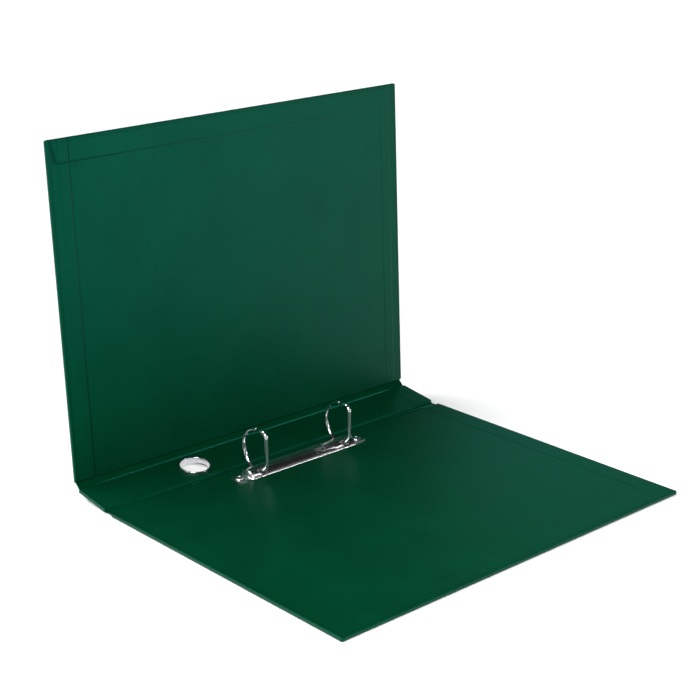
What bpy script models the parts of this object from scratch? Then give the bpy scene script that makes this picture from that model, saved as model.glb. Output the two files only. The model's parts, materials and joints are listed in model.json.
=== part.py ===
"""A two-ring D-ring binder with board covers wrapped in plastic film.

Metres, +Z up. The binder lies open: the back cover is flat on the ground, the spine is
nearly flat beside it, and the front cover stands up. +Y runs along the spine, from the
bottom end of the binder to its top end. The origin is the middle of the whole object's
box, at the ground.
"""

import math

import bmesh
import bpy
from mathutils import Vector

MM = 0.001

# ---- driving dimensions: the case ----
CASE_HEIGHT = 318 * MM  # along the spine
COVER_WIDTH = 248 * MM  # from a cover's crease to its free edge
SPINE_WIDTH = 33.6 * MM  # from crease to crease
HINGE_WIDTH = 8.4 * MM  # each strip of bare film between two creases
FILM = 0.35 * MM
BOARD = 1.7 * MM
GAP = 0.1 * MM  # between two pieces that touch
TURN_IN = 17 * MM  # how far the outer film folds over onto the inside
CORNER_RADIUS = 2.0 * MM
CREASE_HEIGHT = 0.25 * MM  # the crease lines lie inside the outer film
PANEL_PULL_BACK = 0.6 * MM  # from a crease line to the board panel beside it
HINGE_PULL_BACK = 0.3 * MM

# how far each part of the case is turned up from the back cover, which lies flat
BACK_HINGE_TILT = math.radians(4.0)
SPINE_TILT = math.radians(8.0)
FRONT_HINGE_TILT = math.radians(48.5)
FRONT_COVER_TILT = math.radians(89.0)

# ---- driving dimensions: the spine's fittings ----
FINGER_HOLE_Y = -69 * MM
FINGER_HOLE_RADIUS = 11.0 * MM
FINGER_RING_RADIUS = 13.6 * MM
FINGER_RING_FLANGE = 0.8 * MM
WASHER_RADIUS = 13.4 * MM
WASHER_THICKNESS = 0.7 * MM
POCKET_SIZE = (29 * MM, 106 * MM)
POCKET_Y = 46 * MM
POCKET_FILM = 0.3 * MM
POCKET_WELD = 3.0 * MM
THUMB_NOTCH_RADIUS = 5.0 * MM
CARD_SIZE = (21 * MM, 99 * MM)
CARD_THICKNESS = 0.2 * MM

# ---- driving dimensions: the ring mechanism ----
MECHANISM_X = 13.9 * MM  # from the back cover's crease to the middle of the cover plate
RING_SPACING = 80 * MM  # the standard distance between two punched holes
PLATE_HALF_LENGTH = 61.5 * MM
PLATE_HALF_WIDTH = 8.2 * MM
PLATE_RISE = 5.1 * MM
PLATE_SHEET = 0.7 * MM
ARCH_HALF_LENGTH = 49 * MM
TAB_START = 53 * MM
TAB_HALF_WIDTH = 5.3 * MM
WINDOW = (3.6 * MM, 7.7 * MM)  # across the plate, from its middle line
WINDOW_HALF_LENGTH = 2.6 * MM
BLADE_PIVOT = (6.8 * MM, 4.0 * MM)  # across from the middle line, and up
BLADE_SHEET = 0.9 * MM
BLADE_HALF_LENGTH = 46 * MM
BLADE_DROOP = math.radians(4.0)
WIRE_RADIUS = 1.4 * MM
RING_TOP = 38.1 * MM
CURVED_HALF_RADIUS = 16.8 * MM
SEAM_X = 1.7 * MM  # the seam stands this far to the page side of the middle line
CURVED_HALF_END = math.radians(232)  # where the arc turns into the straight foot
STRAIGHT_LEG_X = 12.2 * MM
TOP_BEND_RADIUS = 5.0 * MM
FOOT_BEND_RADIUS = 3.0 * MM
FOOT_BEND_HEIGHT = 12.2 * MM  # where the straight leg's two centre lines would meet
RIVET_Y = 57 * MM
RIVET_SHANK = 1.6 * MM
RIVET_DOME = 3.4 * MM
RIVET_DOME_HEIGHT = 1.5 * MM
RIVET_BACK_HEAD = 4.0 * MM
RUNNING_GAP = 0.2 * MM  # round a shank or a barrel in its hole

# ---- worked out from them ----
BOARD_LOW = FILM + GAP
BOARD_HIGH = BOARD_LOW + BOARD
LINER_LOW = BOARD_HIGH + GAP
PANEL_THICKNESS = LINER_LOW + FILM
HINGE_LINER_LOW = FILM + GAP
PLATE_BASE = PANEL_THICKNESS + GAP + PLATE_SHEET / 2  # the middle of the tab's sheet
RING_CENTRE_HEIGHT = RING_TOP - CURVED_HALF_RADIUS


def along(tilt, length):
    """The step in X and Z along a panel of this tilt, away from the back cover."""
    return Vector((-math.cos(tilt) * length, 0, math.sin(tilt) * length))


# The case's reach in X sets where the back cover's crease stands from the origin.
HINGE_CHAIN = (
    along(BACK_HINGE_TILT, HINGE_WIDTH),
    along(SPINE_TILT, SPINE_WIDTH),
    along(FRONT_HINGE_TILT, HINGE_WIDTH),
)
FRONT_EDGE = sum(HINGE_CHAIN, along(FRONT_COVER_TILT, COVER_WIDTH))
FRONT_FACE = FRONT_EDGE.x - CREASE_HEIGHT * math.sin(FRONT_COVER_TILT)
BACK_CREASE = Vector((-(COVER_WIDTH + FRONT_FACE) / 2, 0, CREASE_HEIGHT))


def clear_scene():
    for obj in list(bpy.data.objects):
        bpy.data.objects.remove(obj, do_unlink=True)


def make_material(name, colour, roughness, metallic=0.0, alpha=1.0):
    made = bpy.data.materials.new(name)
    made.use_nodes = True
    shader = made.node_tree.nodes["Principled BSDF"]
    shader.inputs["Base Color"].default_value = (*colour, 1)
    shader.inputs["Roughness"].default_value = roughness
    shader.inputs["Metallic"].default_value = metallic
    shader.inputs["Alpha"].default_value = alpha
    made.diffuse_color = (*colour, alpha)
    return made


def make_empty(name, place, turn=0.0):
    """A frame for the pieces of one panel or one moving part, turned about its Y axis."""
    empty = bpy.data.objects.new(name, None)
    empty.location = place
    empty.rotation_euler = (0, turn, 0)
    empty.empty_display_size = 0.02
    bpy.context.scene.collection.objects.link(empty)
    return empty


def add_object(name, bm, parent, finish, smooth=False):
    mesh = bpy.data.meshes.new(name)
    bmesh.ops.recalc_face_normals(bm, faces=bm.faces)
    bm.to_mesh(mesh)
    bm.free()
    if smooth:
        mesh.shade_smooth()
        mesh.set_sharp_from_angle(angle=math.radians(35))
    if finish:
        mesh.materials.append(finish)
    obj = bpy.data.objects.new(name, mesh)
    obj.parent = parent
    bpy.context.scene.collection.objects.link(obj)
    return obj


def extruded(outline, low, high):
    """A bmesh of a flat outline, given as (x, y), pulled up from low to high."""
    bm = bmesh.new()
    face = bm.faces.new([bm.verts.new((x, y, low)) for x, y in outline])
    pulled = bmesh.ops.extrude_face_region(bm, geom=[face])["geom"]
    tops = [item for item in pulled if isinstance(item, bmesh.types.BMVert)]
    bmesh.ops.translate(bm, vec=(0, 0, high - low), verts=tops)
    return bm


def rectangle(x_low, x_high, y_low, y_high):
    return [(x_low, y_low), (x_high, y_low), (x_high, y_high), (x_low, y_high)]


def arc(centre, radius, start, end, steps):
    """Points on an arc between two angles, in degrees."""
    angles = [math.radians(start + (end - start) * i / steps) for i in range(steps + 1)]
    return [(centre[0] + radius * math.cos(a), centre[1] + radius * math.sin(a)) for a in angles]


def cover_outline(hinge, free, half, radius):
    """A cover seen from above: square at the hinge side, two round corners at the free edge."""
    side = math.copysign(1, free - hinge)
    start = 0 if side > 0 else 180
    corner = arc((free - side * radius, half - radius), radius, start, 90, 5)
    mirrored = [(x, -y) for x, y in reversed(corner)]
    return [(hinge, -half), *mirrored, *corner, (hinge, half)]


def add_cutter(name, bm, parent):
    cutter = add_object(name, bm, parent, None)
    cutter.hide_render = True
    cutter.display_type = "WIRE"
    return cutter


def cut(target, cutter):
    modifier = target.modifiers.new("cut " + cutter.name, "BOOLEAN")
    modifier.operation = "DIFFERENCE"
    modifier.solver = "EXACT"
    modifier.object = cutter


def round_cutter(name, radius, place, parent, low=-2 * MM, high=6 * MM, steps=48):
    half_step = 180 / steps
    outline = arc(place, radius, half_step, 360 - half_step, steps - 1)
    return add_cutter(name, extruded(outline, low, high), parent)


def turned(profile, steps):
    """A bmesh of a closed profile, given as (radius, height), spun about Z."""
    bm = bmesh.new()
    rings = []
    for i in range(steps):
        angle = 2 * math.pi * i / steps
        rings.append([
            bm.verts.new((r * math.cos(angle), r * math.sin(angle), z)) for r, z in profile
        ])
    for i, ring in enumerate(rings):
        following = rings[(i + 1) % steps]
        for k in range(len(profile)):
            n = (k + 1) % len(profile)
            bm.faces.new((ring[k], ring[n], following[n], following[k]))
    bmesh.ops.remove_doubles(bm, verts=bm.verts, dist=0.001 * MM)
    return bm


# ---- the case ----


def add_film_tray(name, hinge, free, parent, finish):
    """A cover's outer film: its outside sheet, its three edges, and the turn-in on the inside."""
    half = CASE_HEIGHT / 2
    side = math.copysign(1, free - hinge)
    past = hinge - side * 5 * MM
    outline = cover_outline(hinge, free, half, CORNER_RADIUS)
    tray = add_object(name, extruded(outline, 0, PANEL_THICKNESS), parent, finish)
    room = cover_outline(past, free - side * FILM, half - FILM, CORNER_RADIUS - FILM)
    cut(tray, add_cutter(name + "_room", extruded(room, FILM, LINER_LOW), parent))
    inside = rectangle(*sorted((past, free - side * TURN_IN)), -(half - TURN_IN), half - TURN_IN)
    window = extruded(inside, LINER_LOW - 0.05 * MM, PANEL_THICKNESS + 2 * MM)
    cut(tray, add_cutter(name + "_window", window, parent))
    return tray


def add_board(name, hinge, free, parent, finish):
    side = math.copysign(1, free - hinge)
    half = CASE_HEIGHT / 2 - FILM - GAP
    outline = cover_outline(hinge, free - side * (FILM + GAP), half, CORNER_RADIUS - FILM)
    return add_object(name, extruded(outline, BOARD_LOW, BOARD_HIGH), parent, finish)


def add_liner(name, hinge, free, parent, finish):
    side = math.copysign(1, free - hinge)
    half = CASE_HEIGHT / 2 - TURN_IN - GAP
    x = sorted((hinge, free - side * (TURN_IN + GAP)))
    outline = rectangle(*x, -half, half)
    return add_object(name, extruded(outline, LINER_LOW, PANEL_THICKNESS), parent, finish)


def add_cover(title, hinge, free, parent, film, board):
    return (
        add_film_tray(title + "_film", hinge, free, parent, film),
        add_board(title + "_board", hinge, free, parent, board),
        add_liner(title + "_liner", hinge, free, parent, film),
    )


def add_spine(parent, film, board):
    """The spine's film folds over its two ends only, because both long sides are hinges."""
    half = CASE_HEIGHT / 2
    near, far = -SPINE_WIDTH + PANEL_PULL_BACK, -PANEL_PULL_BACK
    past_near, past_far = near - 5 * MM, far + 5 * MM
    wrap = add_object(
        "spine_film",
        extruded(rectangle(near, far, -half, half), 0, PANEL_THICKNESS),
        parent,
        film,
    )
    room = rectangle(past_near, past_far, -half + FILM, half - FILM)
    cut(wrap, add_cutter("spine_film_room", extruded(room, FILM, LINER_LOW), parent))
    inside = rectangle(past_near, past_far, -half + TURN_IN, half - TURN_IN)
    window = extruded(inside, LINER_LOW - 0.05 * MM, PANEL_THICKNESS + 2 * MM)
    cut(wrap, add_cutter("spine_film_window", window, parent))
    inner = half - FILM - GAP
    core = rectangle(near, far, -inner, inner)
    board_piece = add_object("spine_board", extruded(core, BOARD_LOW, BOARD_HIGH), parent, board)
    inner = half - TURN_IN - GAP
    lining = rectangle(near, far, -inner, inner)
    liner = add_object("spine_liner", extruded(lining, LINER_LOW, PANEL_THICKNESS), parent, film)
    return wrap, board_piece, liner


def add_hinge_strip(title, parent, film):
    """The bare film between two creases: the outer film, and the liner laid on its inside."""
    near, far = -HINGE_WIDTH + HINGE_PULL_BACK, -HINGE_PULL_BACK
    half = CASE_HEIGHT / 2
    outer = rectangle(near, far, -half, half)
    add_object(title + "_film", extruded(outer, 0, FILM), parent, film)
    inner = rectangle(near, far, -half + FILM, half - FILM)
    low, high = HINGE_LINER_LOW, HINGE_LINER_LOW + FILM
    add_object(title + "_liner", extruded(inner, low, high), parent, film)


# ---- the spine's fittings ----


def add_finger_ring(panel, steel, spine_pieces):
    """A flanged eyelet pushed through from outside, and a washer round it on the inside."""
    middle = Vector((-SPINE_WIDTH / 2, FINGER_HOLE_Y, 0))
    barrel = FINGER_HOLE_RADIUS + 0.6 * MM
    hole = round_cutter("finger_hole", barrel + RUNNING_GAP, middle.xy, panel, steps=64)
    for piece in spine_pieces:
        cut(piece, hole)
    low = -GAP - FINGER_RING_FLANGE
    high = PANEL_THICKNESS + GAP + WASHER_THICKNESS
    profile = [
        (FINGER_HOLE_RADIUS, low + 0.3 * MM),
        (FINGER_HOLE_RADIUS + 0.4 * MM, low),
        (FINGER_RING_RADIUS - 0.5 * MM, low),
        (FINGER_RING_RADIUS, low + 0.4 * MM),
        (FINGER_RING_RADIUS, -GAP),
        (barrel, -GAP),
        (barrel, high),
        (FINGER_HOLE_RADIUS, high),
    ]
    ring = add_object("finger_ring", turned(profile, 64), panel, steel, smooth=True)
    ring.location = middle
    inner = barrel + RUNNING_GAP
    base = PANEL_THICKNESS + GAP
    profile = [
        (inner, base),
        (WASHER_RADIUS, base),
        (WASHER_RADIUS, base + 0.3 * MM),
        (WASHER_RADIUS - 0.4 * MM, high),
        (inner, high),
    ]
    washer = add_object("finger_ring_washer", turned(profile, 64), panel, steel, smooth=True)
    washer.location = middle


def add_label_pocket(panel, clear_film, paper):
    """A film pocket welded to the spine along three sides, open at the top, with its card."""
    middle = Vector((-SPINE_WIDTH / 2, POCKET_Y, 0))
    half_x, half_y = POCKET_SIZE[0] / 2, POCKET_SIZE[1] / 2
    card_low = -GAP - 0.05 * MM - CARD_THICKNESS
    film_high = card_low - GAP
    film_low = film_high - POCKET_FILM
    outline = rectangle(-half_x, half_x, -half_y, half_y)
    pocket = add_object("label_pocket", extruded(outline, film_low, -GAP), panel, clear_film)
    pocket.location = middle
    slot_half = CARD_SIZE[0] / 2 + 0.3 * MM
    bottom = -half_y + POCKET_WELD
    slot = rectangle(-slot_half, slot_half, bottom, half_y + 5 * MM)
    slot_cutter = add_cutter("pocket_slot", extruded(slot, film_high, 2 * MM), panel)
    slot_cutter.location = middle
    cut(pocket, slot_cutter)
    notch_place = (middle.x, middle.y - half_y)
    notch = round_cutter("thumb_notch", THUMB_NOTCH_RADIUS, notch_place, panel, steps=32)
    cut(pocket, notch)
    slide = make_empty("label_slide", middle)
    slide.parent = panel
    y_low = bottom + 0.3 * MM
    card = rectangle(-CARD_SIZE[0] / 2, CARD_SIZE[0] / 2, y_low, y_low + CARD_SIZE[1])
    card_solid = extruded(card, card_low, card_low + CARD_THICKNESS)
    add_object("label_card", card_solid, slide, paper)


# ---- the ring mechanism ----


def plate_section(y):
    """The cover plate's half width and rise this far from its middle."""
    share = (abs(y) - ARCH_HALF_LENGTH) / (TAB_START - ARCH_HALF_LENGTH)
    share = min(max(share, 0), 1)
    width = PLATE_HALF_WIDTH + (TAB_HALF_WIDTH - PLATE_HALF_WIDTH) * share
    return width, PLATE_RISE * (1 - share)


def plate_point(t, y, offset):
    """A point of the plate, t across it from -1 to 1, offset outwards from mid-sheet."""
    width, rise = plate_section(y)
    angle = 2 * math.atan(rise / width)
    if angle < 0.001:
        return width * t, PLATE_BASE + offset
    across = width * math.sin(angle * t) / math.sin(angle)
    up = rise * (math.cos(angle * t) - math.cos(angle)) / (1 - math.cos(angle))
    across += offset * math.sin(angle * t)
    return across, PLATE_BASE + up + offset * math.cos(angle * t)


def add_cover_plate(mount, steel):
    """A strip of sheet steel arched over the blades and pressed flat at its two ends."""
    slope_middle = (ARCH_HALF_LENGTH + TAB_START) / 2
    stations = [-PLATE_HALF_LENGTH, -TAB_START, -slope_middle, -ARCH_HALF_LENGTH]
    stations += [-y for y in reversed(stations)]
    across = [i / 10 - 1 for i in range(21)]
    bm = bmesh.new()
    grids = []
    for offset in (PLATE_SHEET / 2, -PLATE_SHEET / 2):
        grid = []
        for y in stations:
            row = [plate_point(t, y, offset) for t in across]
            grid.append([bm.verts.new((x, y, z)) for x, z in row])
        grids.append(grid)
    upper, lower = grids
    for grid in grids:
        for a, b in zip(grid, grid[1:]):
            for k in range(len(across) - 1):
                bm.faces.new((a[k], a[k + 1], b[k + 1], b[k]))
    for i in (0, len(stations) - 1):
        for k in range(len(across) - 1):
            bm.faces.new((upper[i][k], upper[i][k + 1], lower[i][k + 1], lower[i][k]))
    for i in range(len(stations) - 1):
        for k in (0, len(across) - 1):
            bm.faces.new((upper[i][k], upper[i + 1][k], lower[i + 1][k], lower[i][k]))
    plate = add_object("mechanism_cover_plate", bm, mount, steel, smooth=True)
    for side in (-1, 1):
        for end in (-1, 1):
            x = sorted((side * WINDOW[0], side * WINDOW[1]))
            y = end * RING_SPACING / 2
            shape = rectangle(*x, y - WINDOW_HALF_LENGTH, y + WINDOW_HALF_LENGTH)
            name = f"ring_window_{'page' if side > 0 else 'spine'}_{'top' if end > 0 else 'bottom'}"
            cut(plate, add_cutter(name, extruded(shape, 3.2 * MM, 12 * MM), mount))
    for end in (-1, 1):
        hole = round_cutter(
            f"rivet_hole_plate_{end}", RIVET_SHANK + RUNNING_GAP, (0, end * RIVET_Y), mount,
            low=1 * MM, high=6 * MM, steps=24,
        )
        cut(plate, hole)


def blade_pivot(side):
    return Vector((side * BLADE_PIVOT[0], 0, BLADE_PIVOT[1]))


def add_blade(side, pivot, steel):
    """A hinge blade: it rocks on its outer edge, and carries the feet of one side's legs."""
    name = "page_side_blade" if side > 0 else "spine_side_blade"
    outer, inner = -side * 0.3 * MM, -side * (BLADE_PIVOT[0] - 0.25 * MM)
    outline = rectangle(*sorted((outer, inner)), -BLADE_HALF_LENGTH, BLADE_HALF_LENGTH)
    blade = add_object(name, extruded(outline, -BLADE_SHEET / 2, BLADE_SHEET / 2), pivot, steel)
    blade.rotation_euler = (0, -side * BLADE_DROOP, 0)


def foot_plane(side):
    """A point and the upward normal of the plane, just above the blade, where the feet end."""
    normal = Vector((-side * math.sin(BLADE_DROOP), 0, math.cos(BLADE_DROOP)))
    return blade_pivot(side) + normal * (BLADE_SHEET / 2 + GAP), normal


def meet(point, direction, plane):
    """Where a line from this point, going this way, meets the plane."""
    on, normal = plane
    return point + direction * ((on - point).dot(normal) / direction.dot(normal))


def curved_half_path():
    """Centre line of a ring's curved half: from the seam round the spine side to its foot."""
    start, end = math.radians(90), CURVED_HALF_END
    steps = 16
    points = [Vector((SEAM_X - GAP, 0, RING_TOP))]
    for i in range(1, steps + 1):
        a = start + (end - start) * i / steps
        x = SEAM_X + CURVED_HALF_RADIUS * math.cos(a)
        z = RING_CENTRE_HEIGHT + CURVED_HALF_RADIUS * math.sin(a)
        points.append(Vector((x, 0, z)))
    direction = Vector((-math.sin(end), 0, math.cos(end)))
    return points + [meet(points[-1], direction, foot_plane(-1))]


def straight_half_path():
    """Centre line of a ring's straight half: across the top, down the page side, to its foot."""
    r = TOP_BEND_RADIUS
    corner = arc((STRAIGHT_LEG_X - r, RING_TOP - r), r, 90, 0, 6)
    reach = FOOT_BEND_RADIUS * math.tan(math.radians(22.5))
    centre = (STRAIGHT_LEG_X - FOOT_BEND_RADIUS, FOOT_BEND_HEIGHT + reach)
    bend = arc(centre, FOOT_BEND_RADIUS, 0, -45, 4)
    flat = [(SEAM_X + GAP, RING_TOP), *corner, *bend]
    points = [Vector((x, 0, z)) for x, z in flat]
    direction = Vector((-1, 0, -1)).normalized()
    return points + [meet(points[-1], direction, foot_plane(1))]


def wire_along(path, foot, sides=12):
    """A bmesh of round wire along a path in the XZ plane, cut upright at its seam and at a
    plane at its foot."""
    seam = (path[0], Vector((1, 0, 0)))
    bm = bmesh.new()
    loops = []
    for i, point in enumerate(path):
        before, after = path[max(i - 1, 0)], path[min(i + 1, len(path) - 1)]
        way = (after - before).normalized()
        out = Vector((-way.z, 0, way.x))
        ends = i in (0, len(path) - 1)
        stretch = 1.0 if ends else 1 / max((after - point).normalized().dot(way), 0.5)
        ring = []
        for k in range(sides):
            a = 2 * math.pi * (k + 0.5) / sides
            offset = out * (math.cos(a) * stretch) + Vector((0, math.sin(a), 0))
            place = point + offset * WIRE_RADIUS
            if ends:
                place = meet(place, way, foot if i else seam)
            ring.append(place)
        loops.append([bm.verts.new(place) for place in ring])
    for a, b in zip(loops, loops[1:]):
        for k in range(sides):
            n = (k + 1) % sides
            bm.faces.new((a[k], a[n], b[n], b[k]))
    bm.faces.new(loops[0])
    bm.faces.new(list(reversed(loops[-1])))
    return bm


def add_ring_half(side, end, pivot, steel):
    path = straight_half_path() if side > 0 else curved_half_path()
    shape = "straight" if side > 0 else "curved"
    place = "top" if end > 0 else "bottom"
    bm = wire_along(path, foot_plane(side))
    half = add_object(f"{place}_ring_{shape}_half", bm, pivot, steel, smooth=True)
    half.location = Vector((0, end * RING_SPACING / 2, 0)) - blade_pivot(side)


def add_rivet(end, mount, steel, layers):
    """A rivet through the cover: a flat head outside, flush with the film, and a dome inside."""
    place = (MECHANISM_X, end * RIVET_Y)
    name = "top" if end > 0 else "bottom"
    panel = mount.parent
    film, board, liner = layers
    head_hole = round_cutter(
        f"{name}_rivet_head_hole", RIVET_BACK_HEAD + RUNNING_GAP, place, panel, high=1 * MM,
        steps=32,
    )
    cut(film, head_hole)
    shank_hole = round_cutter(
        f"{name}_rivet_hole", RIVET_SHANK + RUNNING_GAP, place, panel, steps=24
    )
    for piece in (board, liner):
        cut(piece, shank_hole)
    dome_base = PLATE_BASE + PLATE_SHEET / 2 + GAP
    dome = [
        (RIVET_DOME * math.cos(a), dome_base + RIVET_DOME_HEIGHT * math.sin(a))
        for a in (math.radians(15 * i) for i in range(7))
    ]
    profile = [
        (0, 0),
        (RIVET_BACK_HEAD, 0),
        (RIVET_BACK_HEAD, FILM),
        (RIVET_SHANK, FILM),
        (RIVET_SHANK, dome_base),
        *dome[:-1],
        (0, dome_base + RIVET_DOME_HEIGHT),
    ]
    rivet = add_object(f"{name}_rivet", turned(profile, 24), mount, steel, smooth=True)
    rivet.location = (0, end * RIVET_Y, 0)


def add_mechanism(panel, steel, layers):
    mount = make_empty("mechanism", (MECHANISM_X, 0, 0))
    mount.parent = panel
    add_cover_plate(mount, steel)
    for end in (-1, 1):
        add_rivet(end, mount, steel, layers)
    for side in (-1, 1):
        pivot = make_empty("page_side_pivot" if side > 0 else "spine_side_pivot", blade_pivot(side))
        pivot.parent = mount
        add_blade(side, pivot, steel)
        for end in (-1, 1):
            add_ring_half(side, end, pivot, steel)


def main():
    clear_scene()
    film = make_material("green film", (0.0, 0.085, 0.05), 0.4)
    board = make_material("grey board", (0.35, 0.33, 0.3), 0.9)
    steel = make_material("nickel plated steel", (0.75, 0.75, 0.74), 0.2, metallic=1.0)
    clear_film = make_material("clear film", (0.55, 0.7, 0.64), 0.2, alpha=0.5)
    paper = make_material("label card", (0.85, 0.85, 0.87), 0.7)

    # The back cover lies at Z = 0, and its crease is a little above its outer face.
    back_cover = make_empty("back_cover_frame", (BACK_CREASE.x, 0, 0))
    layers = add_cover("back_cover", PANEL_PULL_BACK, COVER_WIDTH, back_cover, film, board)
    add_mechanism(back_cover, steel, layers)

    # Each frame stands on its crease, and its pieces hang CREASE_HEIGHT below it.
    crease = BACK_CREASE.copy()
    frames = []
    tilts = (BACK_HINGE_TILT, SPINE_TILT, FRONT_HINGE_TILT, FRONT_COVER_TILT)
    names = ("back_hinge", "spine", "front_hinge", "front_cover")
    for name, tilt, step in zip(names, tilts, (*HINGE_CHAIN, Vector())):
        axis = make_empty(name + "_crease", crease, tilt)
        frame = make_empty(name + "_frame", (0, 0, -CREASE_HEIGHT))
        frame.parent = axis
        frames.append(frame)
        crease = crease + step
    back_hinge, spine, front_hinge, front_cover = frames
    add_hinge_strip("back_hinge", back_hinge, film)
    spine_pieces = add_spine(spine, film, board)
    add_finger_ring(spine, steel, spine_pieces)
    add_label_pocket(spine, clear_film, paper)
    add_hinge_strip("front_hinge", front_hinge, film)
    add_cover("front_cover", -PANEL_PULL_BACK, -COVER_WIDTH, front_cover, film, board)


main()
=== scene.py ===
# %% [markdown]
# # A two-ring binder, lying open
#
# A board-covered ring binder is three sheets of grey board wrapped in one sheet of grained
# plastic film. Between the boards the film is bare and creased, and that is the hinge. A
# nickel-plated ring mechanism is riveted to the back cover, and the spine carries a steel
# finger ring and a clear pocket for a label.
#
# The imported CAD model gives the places and the main sizes, and this script makes the surfaces.

# %% Load the frame
import json
import math

import bmesh
import bpy
import numpy as np
from mathutils import Matrix, Vector


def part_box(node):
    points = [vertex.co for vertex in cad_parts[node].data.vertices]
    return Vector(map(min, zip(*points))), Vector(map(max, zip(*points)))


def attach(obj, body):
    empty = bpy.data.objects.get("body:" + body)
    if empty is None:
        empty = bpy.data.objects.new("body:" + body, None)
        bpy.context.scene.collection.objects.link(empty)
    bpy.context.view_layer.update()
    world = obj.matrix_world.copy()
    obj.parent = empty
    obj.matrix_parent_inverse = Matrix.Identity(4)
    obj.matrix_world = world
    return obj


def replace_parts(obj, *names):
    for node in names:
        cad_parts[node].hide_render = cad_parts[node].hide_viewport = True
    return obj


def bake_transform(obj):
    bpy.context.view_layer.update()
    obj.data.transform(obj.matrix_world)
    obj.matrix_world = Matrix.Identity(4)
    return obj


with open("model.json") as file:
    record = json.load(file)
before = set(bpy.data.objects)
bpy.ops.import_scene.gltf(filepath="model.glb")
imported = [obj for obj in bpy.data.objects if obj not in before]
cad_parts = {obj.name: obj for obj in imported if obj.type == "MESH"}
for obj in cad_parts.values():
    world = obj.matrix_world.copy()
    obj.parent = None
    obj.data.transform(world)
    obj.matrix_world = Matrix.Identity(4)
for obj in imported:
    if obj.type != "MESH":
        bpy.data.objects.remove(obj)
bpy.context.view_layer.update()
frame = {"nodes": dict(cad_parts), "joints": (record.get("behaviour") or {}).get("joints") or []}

# %% [markdown]
# ## Reading the case from the frame
#
# The four creases are hinge joints in the frame, so their places come from there. At its
# lowest angle each crease is flat, so the sum of those angles is how far each panel is
# folded up at rest. Everything on the case is then placed by two numbers: how far along the
# unfolded case it is from the back crease, and how far along the spine.

# %% The case's sizes
MM = 0.001
JOINTS = {joint["name"]: joint for joint in frame["joints"]}
CREASE_NAMES = ("back_cover_crease", "spine_back_crease", "spine_front_crease", "front_cover_crease")
PIVOTS = [np.array(JOINTS[name]["pos_m"])[[0, 2]] for name in CREASE_NAMES]
FOLDS = [-JOINTS[name]["range_deg"][0] for name in CREASE_NAMES]
TILTS = np.radians(np.concatenate([[0], np.cumsum(FOLDS)]))
WAYS = np.stack([-np.cos(TILTS), np.sin(TILTS)], 1)  # along each panel, away from the back cover
INWARDS = np.stack([np.sin(TILTS), np.cos(TILTS)], 1)  # each panel's side that faces the sheets
CREASE_GAPS = [np.linalg.norm(b - a) for a, b in zip(PIVOTS, PIVOTS[1:])]
CREASES = np.concatenate([[0], np.cumsum(CREASE_GAPS)])  # along the unfolded case
COVER_LOW, COVER_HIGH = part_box("back_cover_film")
HALF_HEIGHT = COVER_HIGH.y
COVER_WIDTH = COVER_HIGH.x - PIVOTS[0][0]
PANEL = COVER_HIGH.z - COVER_LOW.z  # film, board and film together
CREASE_LEVEL = PIVOTS[0][1] - COVER_LOW.z  # the creases lie this far inside the outer face
BEND = 0.55 * MM  # a fold is rounded over this length on each side of its crease
print(f"case {2000 * HALF_HEIGHT:.0f} mm tall, covers {1000 * COVER_WIDTH:.0f} mm wide")

# %% Where a place on the unfolded case is at rest
def fold_line(u):
    """Crease-level points (x, z) and inward directions for distances along the unfolded case."""
    u = np.asarray(u, float)
    panel = np.searchsorted(CREASES, u)
    start = np.maximum(panel - 1, 0)
    pivots = np.array(PIVOTS)
    place = pivots[start] + (u - CREASES[start])[:, None] * WAYS[panel]
    way = WAYS[panel].copy()
    for i, crease in enumerate(CREASES):
        t = (u - crease) / (2 * BEND) + 0.5
        on = (t > 0) & (t < 1)
        t = t[on][:, None]
        before = pivots[i] - BEND * WAYS[i]
        after = pivots[i] + BEND * WAYS[i + 1]
        place[on] = (1 - t) ** 2 * before + 2 * t * (1 - t) * pivots[i] + t**2 * after
        way[on] = (1 - t) * WAYS[i] + t * WAYS[i + 1]
    way /= np.linalg.norm(way, axis=1)[:, None]
    return place, np.stack([way[:, 1], -way[:, 0]], 1)


def on_case(u, y, z):
    """World points of places on the case: z is the height above its outer face, inwards."""
    u, y, z = np.broadcast_arrays(u, y, z)
    place, inward = fold_line(u.ravel())
    across = place + inward * (z.ravel() - CREASE_LEVEL)[:, None]
    return np.stack([across[:, 0], y.ravel(), across[:, 1]], 1)


def panel_matrix(panel, u, y):
    """A frame on a panel's outer face: X towards the back cover, Y up the spine, Z inwards."""
    origin = on_case([u], [y], [0.0])[0]
    way, inward = WAYS[panel], INWARDS[panel]
    matrix = Matrix.Identity(4)
    matrix.col[0][:3] = (-way[0], 0, -way[1])
    matrix.col[1][:3] = (0, 1, 0)
    matrix.col[2][:3] = (inward[0], 0, inward[1])
    matrix.col[3][:3] = origin
    return matrix


SPINE_MIDDLE = (CREASES[1] + CREASES[2]) / 2

# %% [markdown]
# ## Small helpers
#
# Colours are written as the sRGB hex values a painter would read off the object, and one
# function turns them to the linear values that a shader wants. One function adds a shader
# node with its settings and links, one mixes two colours in spots, and one turns points and
# faces into a finished object.

# %% Helpers
def linear(hex_colour):
    """sRGB hex to linear RGBA."""
    parts = [int(hex_colour[i : i + 2], 16) / 255 for i in (1, 3, 5)]
    return (*(c / 12.92 if c < 0.04045 else ((c + 0.055) / 1.055) ** 2.4 for c in parts), 1.0)


def node(tree, kind, inputs=None, **settings):
    """Adds a node, sets its settings, and links or sets its inputs."""
    made = tree.nodes.new(kind)
    for name, value in settings.items():
        setattr(made, name, value)
    for name, value in (inputs or {}).items():
        if isinstance(value, bpy.types.NodeSocket):
            tree.links.new(value, made.inputs[name])
        else:
            made.inputs[name].default_value = value
    return made


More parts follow.
